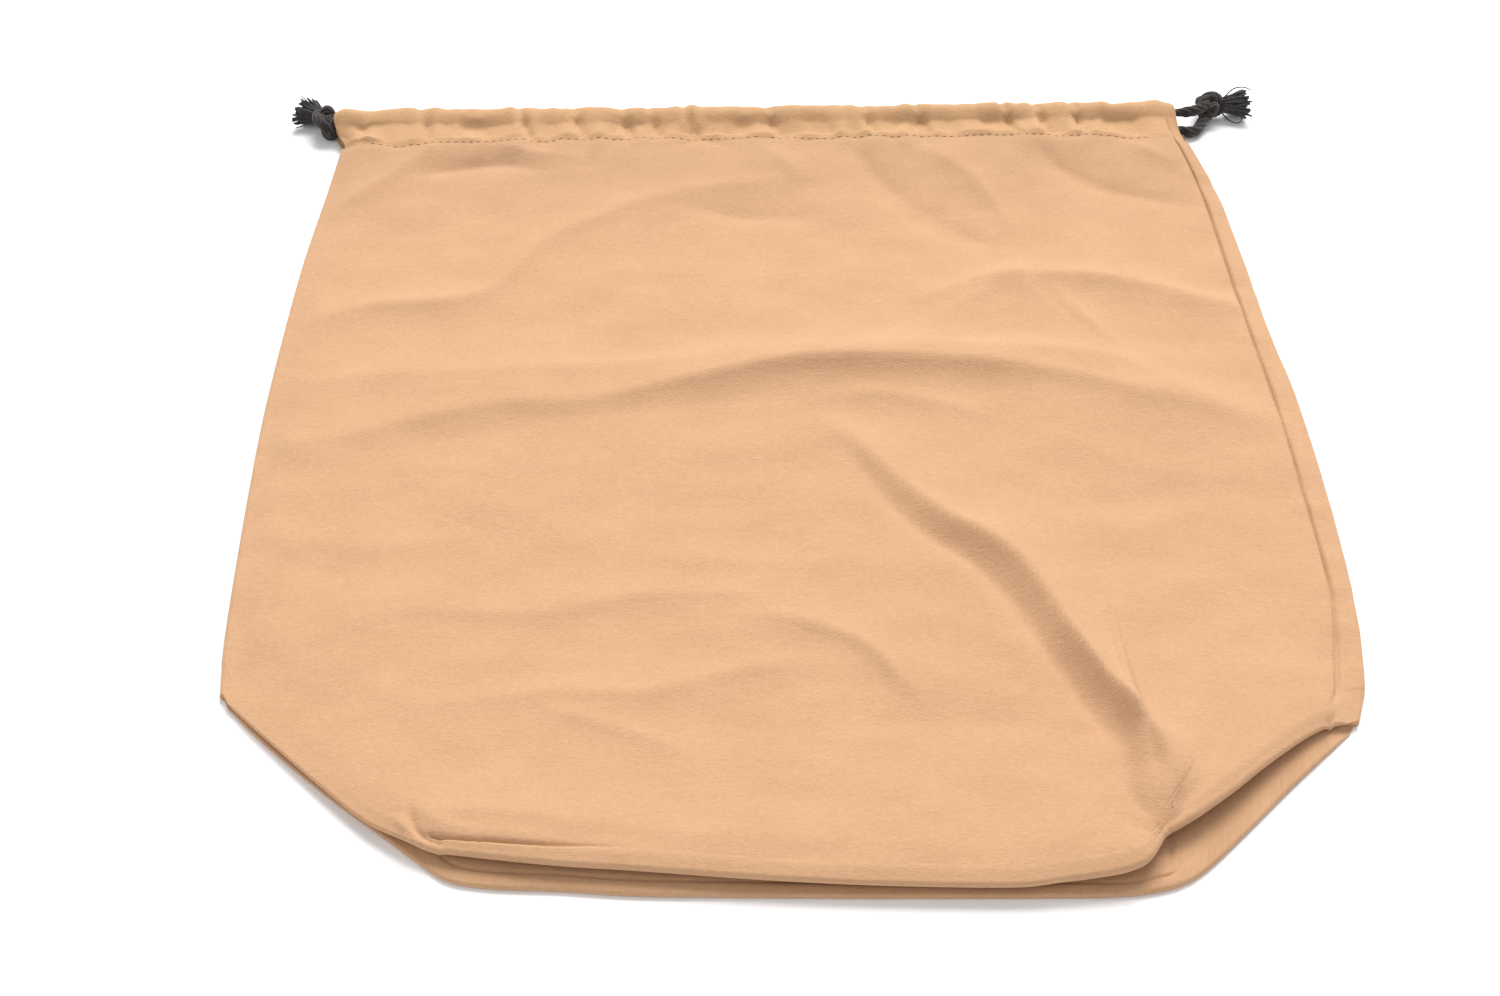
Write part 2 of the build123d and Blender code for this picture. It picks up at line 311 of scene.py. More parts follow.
LEFT_CORNER = (-183.5, -131)
RIGHT_CORNER = (177.5, -150)
left_edge = graph(
    (-260, -176), (-200, -179.5), (-150, -182.5), (-131, -183.5), (-106, -186), (-50, -188.5), (6, -190),
    (56, -189.5), (106, -188), (156, -184.5), (184, -183), (190, -185.0), (196, -188.2), (202, -188.4),
    (210, -185),
)
right_edge = graph(
    (-260, 133), (-200, 160), (-160, 174.5), (-150, 177.5), (-142, 180.5), (-133, 183.3), (-106, 187.3),
    (-69, 190), (-28, 191.3), (15, 191.3), (52, 189.3), (100, 188.3), (143, 186.5), (181, 181.5),
    (190, 179.8), (200, 179.3), (206, 177.8), (214, 173),
)
right_seam = graph(
    (-260, 118), (-200, 143), (-165, 161.5), (-152, 167.2), (-144, 170.2), (-135, 173.2), (-106, 179),
    (-88, 181), (-42, 182), (14, 182.3), (73, 180.8), (134, 180.0), (174, 176.5), (190, 172), (210, 167),
)
front_edge = graph(
    LEFT_CORNER, (-173, -143), (-164.5, -152), (-148, -169), (-132, -184.5), (-121, -192), (-110, -198),
    (-98, -200.8), (-73, -204.6), (-48, -207), (-13, -210.6), (22, -213.2), (60, -214.7), (74, -213.8),
    (90, -212.1), (97, -210.6), (101.5, -208.2), (104.8, -203.8), (107.2, -199.3), (111.5, -196.3),
    (119, -191.8), (131, -182.5), (144, -171), (160, -158), (169, -152.8), RIGHT_CORNER,
)
back_edge = graph(
    LEFT_CORNER, (-173, -143.9), (-156.5, -160.8), (-140.4, -175.9), (-125.2, -189), (-112, -200.5),
    (-104, -206), (-91.5, -208.6), (-71.5, -209.9), (-48, -212.1), (-13, -213.3), (22, -214.3),
    (69, -215.2), (92, -215.3), (105, -213.6), (113, -210.8), (121, -205), (134, -192.5), (151.5, -174.9),
    (167.6, -159.6), RIGHT_CORNER,
)
edge_height = graph(
    (-190, 2.8), (-183.5, 2.8), (-175, 3.4), (-164.5, 3.9), (-148, 4.4), (-132, 5.2), (-121, 6.2),
    (-110, 7.2), (-98, 7.8), (-73, 8.0), (-48, 7.8), (-13, 7.4), (22, 7.0), (60, 7.0), (74, 7.8), (90, 8.8),
    (98, 9.8), (107, 10.8), (119, 10.6), (131, 10.0), (144, 9.0), (160, 6.8), (169, 5.2), (177.5, 3.0),
    (190, 3.0),
)
casing_seam = graph(
    (-200, 184.5), (-182, 185), (-174.5, 184), (-166, 181.8), (-157, 180.4), (-148.7, 182.6), (-123, 183.6),
    (-89, 184.3), (-54.7, 185.1), (-20.3, 185.6), (14, 184.8), (40, 185.3), (66, 184.6), (100, 184.0),
    (134, 183.2), (156, 182), (168, 181.5), (180, 183), (200, 184.5),
)
left_side_height = graph(
    (-260, 2.8), (-131, 2.8), (-118, 3.2), (-100, 3.0), (60, 2.9), (150, 3.0), (187, 4.2), (210, 4.4),
)
right_side_height = graph(
    (-260, 3.0), (-150, 3.0), (-135, 3.9), (-110, 4.2), (0, 4.0), (150, 3.8), (187, 4.4), (210, 4.6),
)
level = graph(
    (-260, 7.0), (-210, 7.0), (-180, 6.4), (-140, 5.6), (-60, 4.8), (20, 4.3), (100, 4.3), (130, 4.6),
    (152, 5.3), (170, 6.3), (187, 7.4), (210, 7.4),
)
HALF_BASE = 111


def crease_y(x):
    """Where the base is folded inward, between the two lower corners."""
    (x_low, y_low), (x_high, y_high) = LEFT_CORNER, RIGHT_CORNER
    return y_low + (x - x_low) / (x_high - x_low) * (y_high - y_low)


# Tables of folds. A row is the fold's width on the left of its crest and on its right, and then the
# points of the crest.

# Folds across the front, from the bag having been folded up
LARGE_FOLDS = (
    (9, 24, (-190, 24, 0.4), (-154, 27, 1.4), (-116, 28, 1.8), (-72, 31, 2.0), (-39, 33, 2.0),
     (-6, 37, 1.8), (16, 39, 1.5), (38, 43, 1.4), (56, 52, 1.6), (68, 62, 1.6), (93, 86, 1.4),
     (102, 90, 0)),
    (10, 20, (-5, 35, 0), (20, 35, 1.0), (38, 36, 1.8), (66, 37, 2.2), (94, 37, 2.4), (115, 34, 2.4),
     (129, 29, 2.3), (141, 20, 2.0), (155, 5, 1.6), (173, -9, 0)),
    (15, 8, (-190, -14, 0), (-165, -9, 1.1), (-124, 4, 1.6), (-98, 9, 1.8), (-71, 11, 2.0),
     (-28, 22, 3.6), (7, 29, 4.3), (40, 29, 3.9), (60, 28, 3.4), (90, 25, 2.9), (115, 18, 2.3),
     (140, 6, 1.4), (165, -6, 0)),
    (11, 10, (-190, 58, 0.3), (-159, 70, 1.8), (-119, 75, 2.3), (-106, 88, 2.3), (-93, 111, 2.2),
     (-64, 133, 2.0), (-34, 146, 1.6), (-3, 153, 1.2), (20, 158, 0)),
    (8, 8, (-190, 126, 0.2), (-177, 138, 1.6), (-166, 151, 2.0), (-148, 174, 1.4), (-140, 185, 0)),
    (9, 11, (50, 68, 0), (64, 75, 1.6), (87, 84, 2.6), (122, 84, 3.2), (150, 75, 2.7), (174, 65, 2.0),
     (190, 60, 0.3)),
    (7, 8, (108, 80, 0), (114, 66, 1.5), (122, 52, 1.7), (132, 34, 0)),
)

# The deep valley that runs to the right corner of the base, and the ridge beside it
CORNER_FOLDS = (
    (11, 9, (12, 4, 0), (26, -14, 2.4), (41, -37, 4.2), (55, -56, 5.8), (67, -67, 6.8), (77, -79, 7.2),
     (85.5, -98, 7.2), (91, -115, 6.8), (97.5, -131, 6.0), (104.5, -149, 4.8), (110.5, -162, 3.6),
     (114, -174, 2.4), (113.5, -188, 1.0)),
    (5, 4, (84, -100, 0), (91, -116, 1.8), (97.5, -132, 3.4), (104.5, -150, 4.8), (110, -164, 4.4),
     (111.5, -178, 2.2), (110, -190, 0)),
    (8, 4, (20, -10, 0), (27, -27, -1.2), (35, -44, -1.9), (48, -63, -2.4), (60, -75, -2.6),
     (68, -86, -2.6), (75.5, -101, -2.6), (81, -117, -2.6), (88, -134, -2.4), (95, -152, -1.8),
     (102, -167, 0)),
    (14, 45, (95, 18, 0), (120, 14, 1.5), (150, 6, 2.1), (185, -6, 2.1)),
    (6, 5, (8, 9, 0), (29, 12, 0.9), (44, 11, 1.0), (65, 5, 0.9), (80, -4, 0)),
    (16, 14, (60, -20, 0), (93, -46, -1.0), (128, -47, -1.0), (165, -42, 0)),
    (10, 10, (120, 16, 0), (138, 4, 0.8), (156, 0, 0.8), (180, -12, 0)),
)

# Shorter and fainter creases
SMALL_FOLDS = (
    (12, 12, (-165, -24, 0), (-131, -11, -0.8), (-66, 3, -1.0), (-30, 8, -0.8), (30, 14, 0)),
    (6, 5, (-54, -71, 0), (-37, -74, 0.5), (4, -76, 0.5), (40, -73, 0)),
    (8, 5, (-152, -100, 0), (-122, -97, 0.8), (-99, -99, 0.9), (-76, -98, 1.0), (-56, -92, 1.1),
     (-30, -91, 0.9), (15, -94, 0)),
    (6, 2.6, (-24, -103, 0), (-5, -103, 0.9), (9, -108, 1.4), (21, -114, 1.8), (30, -125, 1.8),
     (36, -135, 1.2), (42, -143, 0)),
    (7, 9, (-128, -140, 0), (-112, -139, 1.0), (-94, -137, 1.4), (-76, -135, 1.5), (-52, -136, 1.6),
     (-34, -132, 1.5), (-10, -124, 1.1), (15, -122, 0)),
    (5, 6, (-84, -139, 0), (-76, -144, 0.9), (-61, -149, 1.1), (-47, -155, 1.0), (-30, -164, 0)),
    (9, 7, (-126, -172, 0), (-115, -184, 0.9), (-91, -186, 1.1), (-54, -192, 0.8), (-12, -197, 0.4),
     (58, -202, 0.4), (84, -198, 0.4), (96, -188, 0)),
    (12, 12, (18, -147, 0), (45, -150, -1.1), (75, -152, -1.1), (97, -160, 0)),
    (8, 8, (-92, -112, 0), (-60, -116, -0.6), (-20, -113, 0)),
    (9, 9, (-176, -60, 0), (-150, -66, 0.6), (-120, -62, 0.5), (-90, -55, 0)),
    (10, 9, (-140, -30, 0), (-118, -34, 0.5), (-94, -20, 0.6), (-66, -13, 0.5), (-30, -6, 0)),
)

# Folds that fan out below the casing, where the cords hold it gathered
MOUTH_FOLDS = (
    (7, 8, (-152, 160, 0), (-135, 167, -0.8), (-114, 171, -1.0), (-88, 160, 0)),
    (8, 8, (34, 184, 0), (40, 170, -0.7), (55, 138, -0.9), (76, 116, -0.7), (94, 108, 0)),
    (8, 8, (58, 182, 0), (80, 161, 0.7), (91, 139, 0.8), (100, 108, 0)),
    (8, 9, (110, 186, 0), (123, 164, -0.9), (138, 149, -1.0), (160, 139, -0.6), (182, 131, 0)),
    (8, 8, (-46, 138, 0), (-9, 130, -0.6), (20, 129, 0)),
    (6, 6, (-46, 176, 0), (-29, 185, -0.7), (-12, 178, 0)),
    (7, 7, (150, 182, 0), (160, 172, 0.7), (175, 160, 0)),
    (6, 6, (-120, 184, 0), (-100, 176, 0.5), (-75, 170, 0)),
    (7, 7, (-5, 182, 0), (8, 165, 0.6), (14, 148, 0)),
)

# Sharp little creases at the two ends of the front of the base
CORNER_CREASES = (
    (3, 3, (97, -176, 0), (101, -187, -1.0), (104.5, -193, -1.5), (107.5, -199, -1.2)),
    (3, 3, (121, -164, 0), (118, -177, -1.0), (113.5, -189, -1.5), (109, -198, -1.2)),
    (3, 3, (133, -148, 0), (127, -166, -0.6), (118, -184, -1.1), (110, -197, -0.4)),
    (3, 3, (107, -174, 0), (109, -184, 0.8), (110.5, -191, 1.0), (109, -198, 0)),
    (2.5, 2.5, (92, -189, 0), (98, -195, -0.6), (104, -199, -1.3), (107, -200, -1.0)),
    (1.8, 1.6, (-117, -180, 0), (-116.6, -186, -1.2), (-114.5, -191.5, -1.7), (-111, -194.8, -1.7),
     (-107.5, -196.3, -1.0)),
    (3.0, 3.0, (-122, -184, 0), (-119.5, -189, 0.9), (-115, -193.5, 0.9), (-110, -196, 0)),
    (3.0, 4.0, (-112, -184, 0), (-108, -190, 0.8), (-98, -193, 0.7), (-80, -195, 0.3), (-66, -196, 0)),
    (1.2, 1.2, (-107.4, -195.8, -0.8), (-107.0, -198.6, -1.2), (-106.8, -200.5, -1.2)),
)

LARGE_STRENGTH, MOUTH_STRENGTH = 1.25, 3.4
LEAST_HEIGHT = 2.4


def front_height(x, y):
    """Height of the front sheet's upper face."""
    steep = (front_edge(x + 1) - front_edge(x - 1)) / 2
    from_base = (y - front_edge(x)) / np.sqrt(1 + steep**2)
    from_left, from_right = x - left_edge(y), right_edge(y) - x
    z = edge_height(x) + (level(y) - edge_height(x)) * smooth(from_base / 60)
    z = z + 1.1 * smooth((edge_height(x) - 3.6) / 3) * (smooth(from_base / 5) - smooth(from_base / 40))
    inside = smooth((from_base - 1.5) / 9) * smooth(from_left / 14) * smooth((from_right - 1) / 12)
    lumps = 0.55 * rough(x * 0.7, y, 34, 3) + 0.42 * rough(x * 0.6, y, 15, 4)
    lumps = lumps + 0.13 * rough(x * 0.6, y, 6, 5)
    gentle = folds(x, y, SMALL_FOLDS) + MOUTH_STRENGTH * folds(x, y, MOUTH_FOLDS)
    strong = LARGE_STRENGTH * folds(x, y, LARGE_FOLDS) + folds(x, y, CORNER_FOLDS)
    z = z + inside * (strong + gentle + lumps)
    z = z + smooth(from_base / 2.5) * folds(x, y, CORNER_CREASES)
    left, right = left_side_height(y), right_side_height(y)
    z = left + (z - left) * smooth(from_left / 13)
    z = right + (z - right) * smooth(from_right / 11)

    # The right seam is a groove, with puckers in the strip outside it
    off_seam = x - right_seam(y)
    pucker = rough(y, y * 0, 6.5, 8)
    z = z - (1.5 + 0.3 * pucker) * np.exp(-((off_seam / 0.36) ** 2))
    z = z - 0.35 * np.exp(-((off_seam / 1.3) ** 2))
    z = z + (0.25 + 0.45 * pucker) * np.exp(-(((off_seam - 3.6) / 3) ** 2)) * smooth(from_right / 3)
    z = z + 0.25 * pucker * np.exp(-(((off_seam + 3) / 4) ** 2))

    # The cloth draws in towards the row of thread that closes the casing
    below = casing_seam(x) - y
    drawn = 0.85 * rough(x + 0.3 * below, x * 0, 5.5, 9) + 0.7 * rough(x - 0.4 * below, x * 0, 12, 10)
    z = z + drawn * np.exp(-((below / 10) ** 2)) - 0.3 * np.exp(-((below / 1.6) ** 2))
    return np.maximum(z, LEAST_HEIGHT)


# The surface of the cloth ------------------------------------


def quads_of(index):
    """The cells of a grid of point numbers."""
    return np.stack([index[:-1, :-1], index[:-1, 1:], index[1:, 1:], index[1:, :-1]], -1).reshape(-1, 4)


class Surface:
    """Grids of points that share their edges. Each cell has the name of the piece that it belongs to."""

    def __init__(self):
        self.points, self.flat, self.faces, self.names, self.count = [], [], [], [], 0

    def add(self, points, flat, names, flip=False):
        rows, columns = points.shape[:2]
        index = self.count + np.arange(rows * columns).reshape(rows, columns)
        quads = quads_of(index)
        self.points.append(points.reshape(-1, 3))
        self.flat.append(flat.reshape(-1, 2))
        self.faces.append(quads[:, ::-1] if flip else quads)
        self.names.append(np.asarray(names).reshape(-1))
        self.count += rows * columns
        return index

    def close(self, one, other, name):
        """Fills the gap between two lines of points with the same ends, by triangles."""
        i, j, found = 0, 0, []
        while i < len(one) - 1 or j < len(other) - 1:
            ahead = (i + 1) / (len(one) - 1) if i < len(one) - 1 else 2
            if ahead <= ((j + 1) / (len(other) - 1) if j < len(other) - 1 else 2):
                found.append((one[i], one[i + 1], other[j], other[j]))
                i += 1
            else:
                found.append((one[i], other[j + 1], other[j], other[j]))
                j += 1
        self.faces.append(np.array(found))
        self.names.append(np.array([name] * len(found)))

    def join(self):
        """Merges the points where grids meet, and works out each point's outward direction."""
        points, faces = np.concatenate(self.points), np.concatenate(self.faces)
        _, first, same = np.unique(np.round(points, 4), axis=0, return_index=True, return_inverse=True)
        self.place = points[first]
        self.spread = np.concatenate(self.flat)[first]
        self.cells = same.reshape(-1)[faces]
        self.cell_names = np.concatenate(self.names)
        a, b, c, d = (self.place[self.cells[:, k]] for k in range(4))
        out = np.cross(c - a, d - b)
        self.outward = np.zeros_like(self.place)
        for k in range(4):
            np.add.at(self.outward, self.cells[:, k], out)
        self.outward /= np.maximum(np.linalg.norm(self.outward, axis=1), 1e-9)[:, None]


def spaced(count, denser):
    """Positions from -1 to 1, closer together where denser is larger."""
    fine = np.linspace(-1, 1, 4001)
    total = np.cumsum(denser(fine))
    return np.interp(np.linspace(total[0], total[-1], count), total, fine)


def bump(at, place, size):
    return np.exp(-(((at - place) / size) ** 2))


INNER_ROWS, TURN, SIDE_TURN = 12, 10, 8
CREASE = 0.35
SEAM_SHARE = 0.955
NEAR_SEAM = np.array([-0.011, -0.005, -0.0019, 0.0, 0.0019, 0.005, 0.011])

# Where the grid's columns lie across the bag, from -1 at its left side to 1 at its right
at_column = spaced(241, lambda at: 1 + 0.9 * bump(abs(at), 0.60, 0.09))
at_column = at_column[abs(abs(at_column) - SEAM_SHARE) > 0.014]
at_column = np.sort(np.concatenate([at_column, SEAM_SHARE + NEAR_SEAM, -SEAM_SHARE + NEAR_SEAM]))
COLUMNS = len(at_column)
SEAM_COLUMN = int(np.argmin(abs(at_column - SEAM_SHARE)))
at_seam = at_column[SEAM_COLUMN]

# Rows between a fold at the base and the casing. The first ones are the lip up to the base seam, as
# shares of it, then there are three at distances past the seam, and the rest are shares of what is left.
LIP_SHARES = np.array([0.0, 0.3, 0.6, 0.8, 0.91, 1.0])
PAST_SEAM = np.array([0.5, 1.1, 2.2])
LIP_ROW = len(LIP_SHARES) - 1
rest_rows = spaced(212, lambda at: 1 + 0.9 * bump(at, -1, 0.26) + 0.5 * bump(at, 1, 0.12))
REST_SHARES = (rest_rows + 1) / 2
front_lip = graph(
    (-260, 2.8), (-111, 2.8), (-96, 3.3), (-79, 4.2), (-66, 5.0), (-40, 5.5), (0, 5.5), (260, 5.5),
)
back_lip_width = graph((-260, 5.6), (-111, 5.6), (-87, 5.5), (-48, 5.0), (75, 4.6), (104, 4.0), (260, 4.0))


def across(share, y):
    """x of a column of the grid, at y. One column runs along the right seam."""
    low = left_edge(y) + left_side_height(y) / 2
    high = right_edge(y) - right_side_height(y) / 2
    seam = np.minimum(right_seam(y), high - 3)
    inner = low + (seam - low) * (share + 1) / (at_seam + 1)
    outer = seam + (high - seam) * (share - at_seam) / (1 - at_seam)
    return np.where(share <= at_seam, inner, outer)


base_x = across(at_column, np.full(COLUMNS, -150.0))
for turn in range(30):
    base_x = across(at_column, (front_edge(base_x) + back_edge(base_x)) / 2)
base_x[0], base_x[-1] = LEFT_CORNER[0] + 1.4, RIGHT_CORNER[0] - 1.5
BASE_COLUMNS = (int(np.argmin(abs(base_x + HALF_BASE))), int(np.argmin(abs(base_x - HALF_BASE))))
corner_fade = smooth(np.minimum(base_x - base_x[0], base_x[-1] - base_x) / 5)


def sheet_plan(edge, turn, lip_width):
    """Plan of an outer sheet, from the start of its turn at the base up to the casing's seam, and the
    outward direction along its lower edge."""
    slope = (edge(base_x + 1) - edge(base_x - 1)) / 2
    outward = np.stack([slope, -np.ones(COLUMNS)], -1) / np.sqrt(1 + slope**2)[:, None]
    low = edge(base_x)
    low[0], low[-1] = LEFT_CORNER[1], RIGHT_CORNER[1]
    high = casing_seam(across(at_column, np.full(COLUMNS, 187.0)))
    steep = np.sqrt(1 + slope**2) / (high - low)
    lip = lip_width(base_x) * steep
    first = LIP_SHARES[:, None] * lip
    past = lip + PAST_SEAM[:, None] * steep
    rest = past[-1] + (1 - past[-1]) * REST_SHARES[1:, None]
    t = np.concatenate([first, past, rest])
    y = low + (high - low) * t
    x = across(at_column[None], y)
    x = x + (base_x - x[0]) * (1 - t) ** 8
    near = (1 - t) ** 40 * corner_fade
    x = x - outward[:, 0] * turn * near
    y = y - outward[:, 1] * turn * near
    y[:, 0] = low[0] + (high[0] - low[0]) * t[:, 0]
    y[:, -1] = low[-1] + (high[-1] - low[-1]) * t[:, -1]
    return x, y, outward


def turned(start, outward, radius, top, low_to_high):
    """Rows of points that turn round a fold, between a sheet's edge at height top and its lower layer."""
    angles = np.linspace(0, pi, TURN + 1)[1:, None]
    reach = radius * np.sin(angles)
    x = start[:, 0] + outward[:, 0] * reach
    y = start[:, 1] + outward[:, 1] * reach
    z = top - radius + radius * np.cos(angles)
    rows = np.stack([x, y, z], -1)
    return rows[::-1] if low_to_high else rows


def grid(x, y, z):
    return np.stack(np.broadcast_arrays(x, y, z), -1)


def flat_map(points, offset):
    """Where each point lies on the flat cloth: x across, and the length along its column back from its
    last row."""
    steps = np.linalg.norm(np.diff(points, axis=0), axis=2)
    along = np.concatenate([np.zeros((1, points.shape[1])), np.cumsum(steps, axis=0)])
    return np.stack([points[..., 0], along - along[-1] + offset], -1)


# Front strip: from the crease of the base, under the front fold, round it and up to the casing
front_turn = np.clip(0.20 * edge_height(base_x), 0.75, 1.8) * np.maximum(corner_fade, 0.1)
x, y, front_out = sheet_plan(front_edge, front_turn, front_lip)
front_sheet = grid(x, y, front_height(x, y))
crease_at = np.stack([base_x, crease_y(base_x)], -1)
crease_at[0], crease_at[-1] = front_sheet[0, 0, :2], front_sheet[0, -1, :2]
crease_z = 0.40 * front_height(crease_at[:, 0], crease_at[:, 1])
crease_z[0], crease_z[-1] = 0.42 * front_sheet[0, 0, 2], 0.42 * front_sheet[0, -1, 2]

# The seam along the front of the base is a groove, deep at the left and fading to the right
groove = 1.6 * smooth((-48 - base_x) / 40) + 0.03
groove *= smooth((HALF_BASE + 1 - abs(base_x)) / 2)
row_gap = np.concatenate([(LIP_SHARES - 1) * 5, PAST_SEAM])[:, None]
front_sheet[: len(row_gap), :, 2] -= groove * np.exp(-((row_gap / 0.6) ** 2))

front_start = front_sheet[0]
front_roll = turned(front_start, front_out, front_turn, front_start[:, 2], True)
inner_top = front_roll[0]
crease_high = np.concatenate([crease_at, (crease_z + CREASE)[:, None]], 1)
crease_low = np.concatenate([crease_at, (crease_z - CREASE)[:, None]], 1)
inner_shares = np.linspace(0, 1, INNER_ROWS + 1)[:, None, None]
front_inner = crease_high + (inner_top - crease_high) * inner_shares[:-1]
end_groove = 0.8 * bump(abs(base_x), HALF_BASE, 1.0)
front_inner[2:, :, 2] += end_groove
inward = crease_at - inner_top[:, :2]
inward /= np.maximum(np.linalg.norm(inward, axis=1), 1e-6)[:, None]
bend = np.linspace(-pi / 2, pi / 2, 5)[:-1, None]
crease_rows = grid(
    crease_at[:, 0] + inward[:, 0] * CREASE * np.cos(bend) * corner_fade,
    crease_at[:, 1] + inward[:, 1] * CREASE * np.cos(bend) * corner_fade,
    crease_z + CREASE * np.sin(bend),
)
front_strip = np.concatenate([crease_rows, front_inner, front_roll, front_sheet])

# Back strip: from the crease, over the back fold, round it and under the bag to the back casing
back_turn = np.clip(0.15 * edge_height(base_x), 0.7, 1.15) * np.maximum(corner_fade, 0.1)
x, y, back_out = sheet_plan(back_edge, back_turn, back_lip_width)
back_sheet = grid(x, y, np.zeros_like(x))
back_start = back_sheet[0].copy()
back_start[:, 2] = 2 * back_turn
back_roll = turned(back_start, back_out, back_turn, 2 * back_turn, False)[:-1]
lip_step = (back_lip_width(base_x) - back_turn) * corner_fade
back_seam = back_start.copy()
back_seam[:, :2] -= back_out * lip_step[:, None]
back_seam[:, 2] += 0.5 * corner_fade
length = np.maximum(np.linalg.norm(back_seam - crease_low, axis=1), 1e-6)[:, None]
back_inner = crease_low + (back_seam - crease_low) * inner_shares[1:-1] * (1 - 2.4 / np.maximum(length, 6))
toward_crease = (crease_low - back_seam) / np.maximum(length, 3)
near_seam = np.stack([back_seam + toward_crease * gap for gap in (1.1, 0.5, 0)])
lip_shares = np.array([0.12, 0.28, 0.6, 1.0])[:, None, None]
back_lip = back_seam + (back_start - back_seam) * lip_shares
back_groove = 1.1 * corner_fade * smooth((HALF_BASE + 1 - abs(base_x)) / 2)
for rows, shares in ((near_seam, (0.12, 0.6, 1.0)), (back_lip, (0.55, 0.1, 0, 0))):
    rows[..., 2] -= np.array(shares)[:, None] * back_groove
back_inner[..., 2] -= end_groove * (back_inner[..., 2] > 2)
back_strip = np.concatenate([crease_low[None], back_inner, near_seam, back_lip, back_roll, back_sheet])
BACK_LIP_ROW = len(back_inner) + 3
FRONT_LIP_ROW = len(crease_rows) + INNER_ROWS + TURN + LIP_ROW

MIDDLE = (COLUMNS - 1) // 2
HEM_COLUMNS = (
    int(np.argmin(abs(front_sheet[-1, :, 0] + 170))),
    int(np.argmin(abs(front_sheet[-1, :, 0] - 168))),
)
WRAP_COLUMN = COLUMNS - 1 - SEAM_COLUMN


def halves(name, rows, columns=COLUMNS - 1):
    """Names of the cells of a strip: one piece each side of the middle."""
    sides = np.where(np.arange(columns) < MIDDLE, name + "_left", name + "_right")
    return np.tile(sides, (rows, 1)).astype(object)


front_names = halves("front_panel", len(front_strip) - 1)
front_names[:FRONT_LIP_ROW, BASE_COLUMNS[0] : BASE_COLUMNS[1]] = "base_panel_cloth"
front_names[:, SEAM_COLUMN:] = "back_panel_right"
back_names = halves("back_panel", len(back_strip) - 1)
back_names[:BACK_LIP_ROW, BASE_COLUMNS[0] : BASE_COLUMNS[1]] = "base_panel_cloth"
back_names[:, :WRAP_COLUMN] = "front_panel_left"


# Casings -----------------------------------------------------

SECTION_ROWS = 36
casing_x = front_sheet[-1, :, 0]
seam_line = front_sheet[-1, :, 1]
seam_z = front_sheet[-1, :, 2]

# Hollows between the seam and the cords' roll, as (x, width, depth), and narrow creases, as (x, width)
DEEP = (
    (-176, 6, 0.8), (-126, 10, 0.9), (-60, 9, 0.5), (-12, 16, 0.8), (20, 8, 0.7), (63, 15, 1.1),
    (98, 11, 1.0), (152, 14, 1.1),
)
NOTCHES = (
    (-143, 2.0), (-101, 1.8), (-78, 1.8), (-57, 2.0), (-45, 1.6), (-30, 1.6), (6, 1.8), (47, 2.0),
    (70, 1.6), (108, 1.8), (122, 2.0), (138, 1.6),
)
NOTCH_DEPTH = 1.7


def patches(at, places):
    return sum(depth * np.exp(-(((at - place) / size) ** 2)) for place, size, depth in places)


deep = patches(casing_x, DEEP)
wander = rough(casing_x, casing_x * 0, 26, 23)
swell = bump(casing_x, -180, 9)
lobe = bump(casing_x, -171, 6)


def ripples(past_seam):
    """Gathers that cross the casing a little aslant."""
    fine = rough(casing_x - 0.3 * past_seam, 0.3 * past_seam, 3.8, 22)
    return 0.5 * rough(casing_x + 0.4 * past_seam, 0.3 * past_seam, 9, 21) + 0.6 * fine


def pinches(past_seam):
    """Narrow creases across the casing."""
    return patches(casing_x + 0.3 * past_seam, [(place, size, NOTCH_DEPTH) for place, size in NOTCHES])


def roll(y):
    """Distance past the seam of a line along the cords' roll, at y."""
    return y - seam_line


def section(rows):
    """Points of a casing's section over every column. A row is its distance past the seam, its height,
    how far the gathers lift it and how deep the narrow creases are in it."""
    lines = []
    for past, z, lift, pinch in rows:
        typical = float(np.mean(past))
        high = z + lift * ripples(typical) - pinch * pinches(typical)
        lines.append(np.stack(np.broadcast_arrays(past, high, casing_x)[:2], -1))
    return through(np.array(lines), SECTION_ROWS + 1)


bulge = 0.9 * rough(casing_x, casing_x * 0, 13, 25) + 0.4 * rough(casing_x, casing_x * 0, 6, 26)
front_section = section(
    [
        (0.0, seam_z, 0, 0),
        (1.4, seam_z + 0.4, 0.7, 0.4),
        (3.0 + 0.3 * wander, seam_z + 0.9 - 0.3 * deep + 0.8 * lobe, 1.3, 0.8),
        (4.7 + 0.3 * wander, seam_z + 1.0 - 0.9 * deep + 0.5 * lobe, 1.6, 1.2),
        (roll(194.6) + 0.3 * wander, 8.7 - 2.2 * deep - 0.6 * lobe, 1.6, 1.4),
        (roll(196.6) + 0.3 * bulge, 9.7 - 1.7 * deep + 0.3 * swell, 1.4, 1.4),
        (roll(198.8) + 0.3 * bulge, 10.6 - 0.5 * deep + 0.6 * swell, 1.2, 1.1),
        (roll(201.4) + 0.5 * bulge, 11.2 + 0.9 * swell, 1.1, 0.8),
        (roll(204.4) + 0.8 * bulge, 10.8 + 0.9 * swell, 1.1, 0.8),
        (roll(206.3) + 1.0 * bulge, 9.0 + 0.4 * swell, 0.5, 0.4),
        (roll(206.8) + 0.9 * bulge, 7.3, 0.2, 0),
        (roll(205.6) + 0.6 * bulge, 5.9, 0, 0),
        (roll(202.0), 5.3, 0, 0),
        (roll(197.0), 5.1, 0, 0),
        (4.0, 4.4, 0, 0),
        (0.4, np.minimum(seam_z - 1.5, 3.6), 0, 0),
    ]
)

